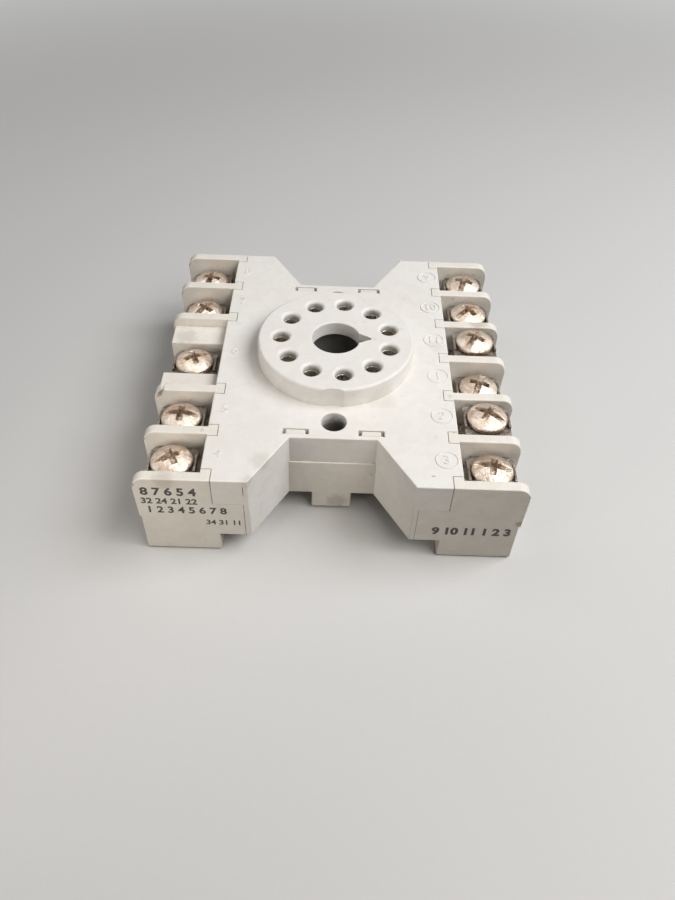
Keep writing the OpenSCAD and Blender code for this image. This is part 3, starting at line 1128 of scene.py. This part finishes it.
def pin_number(terminal: int) -> int:
    """Return the pin that a terminal serves, counted clockwise from the key as seen from above.

    Args:
        terminal: Number of the terminal: left row from rear to front, then right row.

    Returns:
        The pin's number.
    """
    if terminal <= 5:
        return 9 - terminal
    return terminal + 3 if terminal <= 8 else terminal - 8


# ---------------------------------------------------------------- the housing


@dataclass(frozen=True)
class PrintLine:
    """A line of plain numbers on the front of a wing, placed by its middle."""

    row: Row
    numbers: Iterable[int]
    size: float
    drop: float
    inset: float
    bold: float


@dataclass(frozen=True)
class Mark:
    """A thin dark strip from one spot to another on a face of the housing: one is a painted shadow line, the other a
    smear of soiling.
    """

    start: Vector
    end: Vector
    width: float
    facing: Facing

    def outline(self) -> list[Vector]:
        """Return the uneven outline of the smear.

        Returns:
            The corners in order.
        """
        across = Vector(self.facing.value).cross((self.end - self.start).normalized()) * self.width / 2
        spots = ((0.0, 0.0), (0.3, 1.0), (0.8, 0.6), (1.0, 0.0), (0.75, -0.6), (0.25, -1.0))
        return [self.start.lerp(self.end, share) + side * across for share, side in spots]


@dataclass
class Housing:
    """The base and cover mouldings with their marks."""

    finishes: Finishes
    edge: float = 0.22 * MM
    seam_edge: float = 0.045 * MM
    number_size: float = 2.5 * MM
    number_height: float = 0.12 * MM
    number_inset: float = 3.6 * MM
    ring_radius: float = 1.75 * MM
    ring_width: float = 0.2 * MM
    ink_thickness: float = 0.03 * MM
    wing_corner: float = 12.7 * MM
    skirt: float = 0.75 * MM
    hair_radius: float = 0.07 * MM

    def build(self) -> list[bpy.types.Object]:
        """Build both mouldings, the numbers, the marks that moulding and use left, and a painted shadow line at one
        joint.

        Returns:
            The new pieces.
        """
        return [self._moulding("base", Slot.BASE, "cover"), self._moulding("cover", Slot.COVER, "base"),
                self._numbers(), self._print(), self._marks(), self._flash()]

    def _moulding(self, node: str, slot: Slot, partner: str) -> bpy.types.Object:
        """Make the softened copy of a moulding, whose seams with the other one stay crisp.

        Args:
            node: The CAD node.
            slot: Its material slot.
            partner: CAD node of the other moulding.

        Returns:
            The new piece.
        """
        piece = clean_copy(node, f"{node}_moulding")
        soften(piece, self.edge, self.seam_edge, partner)
        self.finishes.dress(piece, slot)
        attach(piece, "housing")
        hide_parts(node)
        return piece

    def _numbers(self) -> bpy.types.Object:
        """Raise the pin number of each terminal on the deck beside it, in a ring on the right.

        Returns:
            The new piece.
        """
        ring = lathe("ring", self._ring_profile(), 40)
        parts = []
        for terminal in range(1, TERMINALS + 1):
            low, high = box_of(f"clamp_{terminal}")
            row = Row.RIGHT if low.x > 0 else Row.LEFT
            inner = low.x if row is Row.RIGHT else high.x
            place = Matrix.Translation((inner - row.value * self.number_inset, (low.y + high.y) / 2 - 0.1 * MM,
                                        deck_height()))
            number = str(pin_number(terminal))
            parts.append((lettering(number, self.number_size, 2 * self.number_height, 0.03 * MM), place))
            if row is Row.RIGHT:
                parts.append((ring.data, place))
        piece = join_meshes("deck_numbers", parts)
        bpy.data.objects.remove(ring)
        self.finishes.dress(piece, Slot.COVER)
        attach(piece, "housing")
        return piece

    def _ring_profile(self) -> list[tuple[float, float]]:
        """Return the profile of a raised ring.

        Returns:
            Points of radius and height.
        """
        inner, outer = self.ring_radius - self.ring_width / 2, self.ring_radius + self.ring_width / 2
        top, under, edge = self.number_height, -self.number_height, 0.04 * MM
        return [(inner, under), (inner, top - edge), (inner + edge, top), (outer - edge, top), (outer, top - edge),
                (outer, under)]

    @staticmethod
    def _print_lines() -> tuple[PrintLine, ...]:
        """Return the printed lines: the pins and the circuits of both rows.

        Returns:
            The lines.
        """
        pins = {row: [pin_number(k) for k in range(1, TERMINALS + 1) if box_of(f"clamp_{k}")[0].x * row.value > 0]
                for row in Row}
        left, right = pins[Row.LEFT], pins[Row.RIGHT]
        circuit = {1: 11, 5: 22, 6: 21, 7: 24, 8: 32, 9: 34, 11: 31}
        return (
            PrintLine(Row.LEFT, left, 2.35 * MM, 2.9 * MM, 5.3 * MM, 0.08 * MM),
            PrintLine(Row.LEFT, [circuit[pin] for pin in left[:4]], 1.8 * MM, 5.1 * MM, 5.2 * MM, 0.05 * MM),
            PrintLine(Row.LEFT, range(1, 9), 2.1 * MM, 7.2 * MM, 7.7 * MM, 0.06 * MM),
            PrintLine(Row.LEFT, [circuit[pin] for pin in (9, 11, 1)], 1.6 * MM, 10.0 * MM, 13.3 * MM, 0.04 * MM),
            PrintLine(Row.RIGHT, right, 2.35 * MM, 10.5 * MM, 7.7 * MM, 0.11 * MM))

    def _print(self) -> bpy.types.Object:
        """Print plain numbers on the fronts of both wings.

        Returns:
            The new piece.
        """
        low, high = box_of("base")
        parts = []
        for line in self._print_lines():
            mesh = lettering(" ".join(map(str, line.numbers)), line.size, self.ink_thickness, bold=line.bold)
            spot = (line.row.value * (high.x - line.inset), low.y, deck_height() - line.drop)
            parts.append((mesh, Matrix.Translation(spot) @ Matrix.Rotation(math.pi / 2, 4, "X")))
        piece = join_meshes("front_print", parts)
        piece.data.materials.append(self.finishes.ink)
        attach(piece, "housing")
        return piece

    def _marks(self) -> bpy.types.Object:
        """Lay a painted shadow line beside the left front skirt, where its joint lies in shade, and a small smear of
        soiling on the deck.

        Returns:
            The new piece.
        """
        front, deck = box_of("cover")[0].y, deck_height()
        side = -self.wing_corner - self.skirt
        marks = (
            # painted shadow: a dark strip where the joint beside the skirt lies in shade
            Mark(Vector((side, front, deck - 1.0 * MM)), Vector((side, front, deck - 3.6 * MM)), 0.14 * MM,
                 Facing.FRONT),
            Mark(Vector((15.0 * MM, front + 2.3 * MM, deck)), Vector((15.7 * MM, front + 2.4 * MM, deck)), 0.16 * MM,
                 Facing.UP))
        build = bmesh.new()
        for mark in marks:
            out, rim = Vector(mark.facing.value), mark.outline()
            top = [build.verts.new(spot + out * 0.012 * MM) for spot in rim]
            under = [build.verts.new(spot - out * 0.02 * MM) for spot in rim]
            build.faces.new(top)
            for step in range(len(rim)):
                after = (step + 1) % len(rim)
                build.faces.new((top[after], top[step], under[step], under[after]))
        bmesh.ops.recalc_face_normals(build, faces=build.faces)
        piece = add_object("seam_grime", mesh_from("seam_grime", build))
        piece.data.materials.append(self.finishes.grime)
        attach(piece, "housing")
        return piece

    def _flash(self) -> bpy.types.Object:
        """Leave a hair of moulding flash at the rear corner of the right wing.

        Returns:
            The new piece.
        """
        root = Vector((self.wing_corner + 0.1 * MM, box_of("cover")[1].y - 0.15 * MM, deck_height() - 0.1 * MM))
        arms = ((0.0, 0.0, 0.0), (-0.25, 0.3, 0.25), (-0.6, 0.5, 0.35), (-0.75, 0.75, 0.7), (-1.1, 0.8, 0.85))
        curve = bpy.data.curves.new("hair", "CURVE")
        curve.dimensions = "3D"
        curve.bevel_depth = self.hair_radius
        curve.bevel_resolution = 2
        spline = curve.splines.new("POLY")
        spline.points.add(len(arms) - 1)
        for index, (point, arm) in enumerate(zip(spline.points, arms)):
            point.co = (*(root + Vector(arm) * MM), 1.0)
            point.radius = 1.0 - 0.17 * index
        hair = add_object("hair", curve)
        piece = add_object("moulding_flash", evaluated_mesh(hair))
        bpy.data.objects.remove(hair)
        piece.data.shade_smooth()
        self.finishes.dress(piece, Slot.COVER)
        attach(piece, "housing")
        return piece


# ---------------------------------------------------------------- the terminals


@dataclass(frozen=True)
class ScrewShape:
    """Sizes of a pan-head screw in metres; its origin is the seat of the head."""

    head_radius: float = 3.3 * MM
    side_height: float = 0.9 * MM
    head_height: float = 2.1 * MM
    edge: float = 0.16 * MM
    recess_edge: float = 0.08 * MM
    slot_width: float = 1.12 * MM
    slot_depth: float = 0.95 * MM
    cross_length: float = 4.0 * MM
    cross_depth: float = 1.6 * MM
    major_radius: float = 1.74 * MM
    minor_radius: float = 1.42 * MM
    pitch: float = 0.6 * MM
    length: float = 7.6 * MM
    point: float = 0.5 * MM
    head_segments: int = 72
    dome_steps: int = 12
    thread_segments: int = 28

    def head_profile(self) -> list[tuple[float, float]]:
        """Return the outline of the head from its underside to its crown.

        Returns:
            Points of radius and height.
        """
        crown = self.head_height - self.side_height
        dome = (self.head_radius ** 2 + crown ** 2) / (2 * crown)
        centre = self.head_height - dome
        rim, edge = self.head_radius, self.edge
        points = [(0.0, 0.0), (rim - edge, 0.0), (rim - 0.3 * edge, 0.3 * edge), (rim, edge),
                  (rim, self.side_height - edge), (rim - 0.25 * edge, self.side_height - 0.25 * edge)]
        widest = math.asin((rim - edge) / dome)
        for step in range(self.dome_steps + 1):
            angle = widest * (1 - step / self.dome_steps)
            points.append((dome * math.sin(angle), centre + dome * math.cos(angle)))
        return points

    def head(self) -> bpy.types.Object:
        """Build the head with its slot along X and its cross.

        Returns:
            The head.
        """
        head = lathe("head", self.head_profile(), self.head_segments)
        top = self.head_height + 0.2 * MM
        slot_low = self.head_height - self.slot_depth
        cross_low = self.head_height - self.cross_depth
        wide = (2.2 * self.head_radius, self.slot_width)
        wing_top = (self.cross_length, self.slot_width)
        wing_low = (0.55 * self.cross_length, 0.62 * self.slot_width)
        cut(head, [tapered_block("slot", wide, (wide[0], 0.86 * wide[1]), slot_low, top),
                   tapered_block("wing_a", wing_top, wing_low, cross_low, top),
                   tapered_block("wing_b", wing_top, wing_low, cross_low, top, math.pi / 2)])
        soften(head, self.recess_edge)
        return head

    def shank(self) -> bpy.types.Object:
        """Build the threaded shank, with a cap on its point.

        Returns:
            The shank.
        """
        build = bmesh.new()
        self._thread(build)
        low = -self.length
        self._trim(build, low, 0.1 * MM)
        cap = lathe("cap", [(0.0, low + 0.01 * MM), (self.minor_radius * 0.86, low + 0.01 * MM)],
                    self.thread_segments)
        build.from_mesh(cap.data)
        bpy.data.objects.remove(cap)
        bmesh.ops.recalc_face_normals(build, faces=build.faces)
        shank = add_object("shank", mesh_from("shank", build))
        shade(shank.data, 50.0)
        return shank

    def _thread(self, build: bmesh.types.BMesh) -> None:
        """Build the thread as a sheared tube whose rows follow the helix.

        Args:
            build: The mesh to add to.
        """
        profile = ((0.0, self.minor_radius), (0.16, self.minor_radius), (0.52, self.major_radius),
                   (0.64, self.major_radius))
        across, turns = len(profile), int(self.length / self.pitch) + 2
        rows = []
        for turn in range(-1, turns):
            for part, radius in profile:
                height = (turn + part) * self.pitch - self.length
                rows.append([self._thread_vertex(build, height, radius, step / self.thread_segments)
                             for step in range(self.thread_segments)])
        for index, row in enumerate(rows[:-across]):
            above = rows[index + 1]
            for step in range(self.thread_segments - 1):
                build.faces.new((row[step], row[step + 1], above[step + 1], above[step]))
            if index + across + 1 < len(rows):
                build.faces.new((row[-1], rows[index + across][0], rows[index + across + 1][0], above[-1]))

    def _thread_vertex(self, build: bmesh.types.BMesh, height: float, radius: float,
                       share: float) -> bmesh.types.BMVert:
        """Add one vertex of the thread.

        Args:
            build: The mesh to add to.
            height: Height of the row at the start of a turn.
            radius: Distance from the axis.
            share: How far round the turn, from 0 to 1.

        Returns:
            The vertex.
        """
        angle = 2 * math.pi * share
        return build.verts.new((radius * math.cos(angle), radius * math.sin(angle), height + share * self.pitch))

    def _trim(self, build: bmesh.types.BMesh, low: float, high: float) -> None:
        """Press the ends of the thread flat, and narrow it to its point.

        Args:
            build: The mesh of the thread.
            low: Height of the point.
            high: Height of the upper end.
        """
        for vertex in build.verts:
            vertex.co.z = min(max(vertex.co.z, low), high)
            allowed = self.major_radius - max(0.0, low + self.point - vertex.co.z)
            radius = math.hypot(vertex.co.x, vertex.co.y)
            if radius > allowed:
                vertex.co.x *= allowed / radius
                vertex.co.y *= allowed / radius
        build.faces.ensure_lookup_table()


@dataclass
class Terminals:
    """The contacts, clamp plates and screws of every terminal."""

    finishes: Finishes
    shape: ScrewShape = ScrewShape()
    contact_edge: float = 0.05 * MM
    clamp_edge: float = 0.1 * MM
    mouth_outer: float = 1.36 * MM
    mouth_inner: float = 1.2 * MM
    mouth_height: float = 1.5 * MM
    gap_length: float = 3.2 * MM
    gap_top: float = 0.3 * MM
    gap_bottom: float = 0.16 * MM

    def build(self) -> list[bpy.types.Object]:
        """Build the pieces of all terminals.

        Returns:
            The new pieces.
        """
        head, shank = self.shape.head(), self.shape.shank()
        pieces = []
        for number in range(1, TERMINALS + 1):
            pieces.append(self._copy(f"contact_{number}", "housing", Slot.CONTACT, self.contact_edge))
            pieces.append(self._mouth(f"contact_{number}"))
            pieces.append(self._copy(f"clamp_{number}", f"clamp_{number}", Slot.CLAMP, self.clamp_edge))
            pieces.append(self._screw(f"screw_{number}", head.data, shank.data))
        for proto in (head, shank):
            bpy.data.objects.remove(proto)
        return pieces

    def _copy(self, node: str, body: str, slot: Slot, width: float) -> bpy.types.Object:
        """Make the softened copy of a contact or clamp plate.

        Args:
            node: The CAD node.
            body: The body that it rides on.
            slot: Its material slot.
            width: Width of the rounding of its edges.

        Returns:
            The new piece.
        """
        piece = clean_copy(node, f"{node}_piece")
        soften(piece, width)
        self.finishes.dress(piece, slot)
        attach(piece, body)
        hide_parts(node)
        return piece

    def _mouth(self, node: str) -> bpy.types.Object:
        """Flare the mouth of a sleeve up into its pin hole, with fingers that spread.

        Args:
            node: The contact's CAD node.

        Returns:
            The new piece.
        """
        top = box_of(node)[1].z
        rim = [vertex.co for vertex in bpy.data.objects[node].data.vertices if vertex.co.z > top - 0.01 * MM]
        centre = Vector(((min(v.x for v in rim) + max(v.x for v in rim)) / 2,
                         (min(v.y for v in rim) + max(v.y for v in rim)) / 2, top))
        outer, inner, rise = self.mouth_outer, self.mouth_inner, self.mouth_height
        profile = [(inner + 0.1 * MM, 0.0), (outer - 0.02 * MM, 0.6 * rise), (outer, rise - 0.04 * MM),
                   (outer - 0.03 * MM, rise), (outer - 0.07 * MM, rise - 0.03 * MM),
                   (inner + 0.06 * MM, 0.55 * rise), (inner, 0.0)]
        piece = lathe(f"{node}_mouth", profile, 40)
        cut(piece, [tapered_block("gap", (self.gap_length, self.gap_top), (self.gap_length, self.gap_bottom),
                                  0.2 * MM, 1.2 * MM, math.atan2(centre.y, centre.x))])
        piece.data.transform(Matrix.Translation(centre))
        shade(piece.data, 40.0)
        self.finishes.dress(piece, Slot.CONTACT)
        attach(piece, "housing")
        return piece

    def _screw(self, node: str, head: bpy.types.Mesh, shank: bpy.types.Mesh) -> bpy.types.Object:
        """Place one screw with its slot turned as in the solid.

        Args:
            node: The screw's CAD node.
            head: Mesh of the head.
            shank: Mesh of the shank.

        Returns:
            The screw.
        """
        low, high = box_of(node)
        seat = Vector(((low.x + high.x) / 2, (low.y + high.y) / 2, low.z + self.shape.length))
        place = Matrix.Translation(seat) @ Matrix.Rotation(self._slot_turn(node, seat), 4, "Z")
        piece = join_meshes(f"{node}_piece", [(head, place), (shank, place)])
        self.finishes.dress(piece, Slot.SCREW)
        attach(piece, node)
        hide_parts(node)
        return piece

    def _slot_turn(self, node: str, seat: Vector) -> float:
        """Return the direction of a screw's slot, from the ends of its slot floor.

        Args:
            node: The screw's CAD node.
            seat: Centre of the seat of its head.

        Returns:
            The direction in radians.
        """
        floor = seat.z + self.shape.head_height - self.shape.slot_depth
        sine = cosine = 0.0
        for vertex in bpy.data.objects[node].data.vertices:
            arm = vertex.co - seat
            if abs(vertex.co.z - floor) < 0.03 * MM and math.hypot(arm.x, arm.y) > 0.9 * self.shape.head_radius:
                double = 2 * math.atan2(arm.y, arm.x)
                sine += math.sin(double)
                cosine += math.cos(double)
        return math.atan2(sine, cosine) / 2


# ---------------------------------------------------------------- studio


@dataclass(frozen=True)
class Lamp:
    """A lamp of the studio, aimed at the socket; the breadth is a panel's side or a spot's radius."""

    name: str
    kind: LampKind
    place_mm: Place
    breadth: float
    power: float
    tone: Colour
    aim_mm: Place = (0.0, 0.0, 0.0)
    cone_deg: float = 56.0
    cone_blend: float = 0.7

    def build(self) -> None:
        """Add the lamp to the scene."""
        data = bpy.data.lights.new(self.name, self.kind.value)
        data.energy = self.power
        data.color = self.tone
        if self.kind is LampKind.PANEL:
            data.size = self.breadth
        else:
            data.shadow_soft_size = self.breadth
            data.spot_size = math.radians(self.cone_deg)
            data.spot_blend = self.cone_blend
        lamp = add_object(self.name, data)
        lamp.visible_camera = False
        lamp.location = Vector(self.place_mm) * MM
        aim = Vector(self.aim_mm) * MM - lamp.location
        lamp.rotation_euler = aim.to_track_quat("-Z", "Y").to_euler()


@dataclass
class Studio:
    """Camera, floor, background and lamps."""

    camera_place_mm: Place = (-0.69, -104.89, 103.98)
    heading_deg: float = 0.974
    dip_deg: float = 46.772
    roll_deg: float = 2.521
    lens_mm: float = 30.71
    sensor_mm: float = 36.0
    floor_tone: Colour = (0.62, 0.62, 0.62)
    floor_bounce: Colour = (0.08, 0.068, 0.056)
    floor_half: float = 3.0
    floor_drop: float = 0.2 * MM
    haze: Colour = (0.60, 0.60, 0.595)
    haze_start: float = 0.14
    haze_end: float = 0.36
    ambient: Colour = (0.03, 0.029, 0.027)
    lamps: tuple[Lamp, ...] = (
        Lamp("side", LampKind.PANEL, (257.0, 0.0, 316.0), 0.24, 1.22, (0.99, 0.99, 1.0)),
        Lamp("front", LampKind.PANEL, (182.0, -182.0, 316.0), 0.22, 0.66, (1.0, 0.95, 0.88)),
        Lamp("left", LampKind.PANEL, (-220.0, 60.0, 330.0), 0.24, 0.30, (1.0, 0.98, 0.95)),
        Lamp("fill", LampKind.SPOT, (-80.0, -95.0, 30.0), 0.03, 0.185, (1.0, 0.92, 0.83), (-8.0, -12.0, 12.0)))

    def build(self) -> None:
        """Build the whole studio."""
        bpy.context.scene.view_settings.view_transform = "Standard"
        self._camera()
        self._floor()
        self._background()
        for lamp in self.lamps:
            lamp.build()

    def _camera(self) -> None:
        """Place the camera."""
        data = bpy.data.cameras.new("camera")
        data.lens = self.lens_mm
        data.sensor_width = self.sensor_mm
        data.clip_start = 0.005
        data.clip_end = 10.0
        camera = add_object("camera", data)
        heading = Matrix.Rotation(-math.radians(self.heading_deg), 4, "Z")
        dip = Matrix.Rotation(math.radians(90.0 - self.dip_deg), 4, "X")
        roll = Matrix.Rotation(math.radians(self.roll_deg), 4, "Z")
        camera.matrix_world = Matrix.Translation(Vector(self.camera_place_mm) * MM) @ heading @ dip @ roll
        bpy.context.scene.camera = camera

    def _floor(self) -> None:
        """Lay a plain pale floor that fades into the background far off."""
        build = bmesh.new()
        bmesh.ops.create_grid(build, x_segments=1, y_segments=1, size=self.floor_half)
        floor = add_object("floor", mesh_from("floor", build))
        floor.location.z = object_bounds()[0][2] - self.floor_drop
        material, graph, shader, place = new_material("floor_paper")
        paper = graph.noise(place, 900.0, 3.0)
        tone = graph.mix(paper.outputs["Fac"], self.floor_tone, tuple(0.97 * c for c in self.floor_tone))
        seen = self._seen(graph)
        bounced = graph.mix(1.0, tone, self.floor_bounce, "MULTIPLY")
        graph.feed(shader.inputs["Base Color"], graph.mix(seen, bounced, tone))
        shader.inputs["Roughness"].default_value = 0.8
        shader.inputs["Specular IOR Level"].default_value = 0.2
        away = graph.vector("LENGTH", place)
        share = graph.span(away.outputs["Value"], self.haze_start, self.haze_end)
        glow = graph.add("Emission", {"Color": self.haze})
        blend = graph.add("MixShader", {0: graph.math("MULTIPLY", share, seen), 1: shader.outputs[0],
                                        2: glow.outputs[0]})
        output = next(node for node in graph.tree.nodes if node.type == "OUTPUT_MATERIAL")
        graph.feed(output.inputs["Surface"], blend.outputs[0])
        floor.data.materials.append(material)
        floor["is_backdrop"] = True

    def _background(self) -> None:
        """Surround the socket with a pale background that gives only dim light."""
        world = bpy.data.worlds.new("studio")
        world.use_nodes = True
        graph = Graph(world.node_tree)
        colour = graph.mix(self._seen(graph), self.ambient, self.haze)
        graph.feed(world.node_tree.nodes["Background"].inputs["Color"], colour)
        bpy.context.scene.world = world

    @staticmethod
    def _seen(graph: Graph) -> bpy.types.NodeSocket:
        """Mask the rays that show the studio: camera, glossy and transmission rays.

        Args:
            graph: The graph of the floor or the world.

        Returns:
            The mask's socket.
        """
        path = graph.add("LightPath").outputs
        seen = graph.math("MAXIMUM", path["Is Camera Ray"], path["Is Glossy Ray"])
        return graph.math("MAXIMUM", seen, path["Is Transmission Ray"])


def hole_places(record: dict) -> tuple[float, float]:
    """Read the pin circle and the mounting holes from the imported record.

    Args:
        record: The record.

    Returns:
        The radius of the pin circle, and the distance of a mounting hole from the middle.
    """
    dims = {mount["name"]: mount["dims"] for mount in record["mounts"]}
    return dims["pin_holes"]["pcd_mm"] / 2 * MM, dims["mounting_holes"]["spacing_y_mm"] / 2 * MM


def main() -> None:
    """Build the socket's looks in order, and log each piece."""
    logging.basicConfig(level=logging.INFO, format="%(name)s: %(message)s")
    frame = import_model()
    Studio().build()
    finishes = Finishes(Effects(), *hole_places(frame["record"]))
    pieces = Housing(finishes).build() + Terminals(finishes).build()
    for piece in pieces:
        LOG.info("%s: %d faces", piece.name, len(piece.data.polygons))


if __name__ == "__main__":
    main()
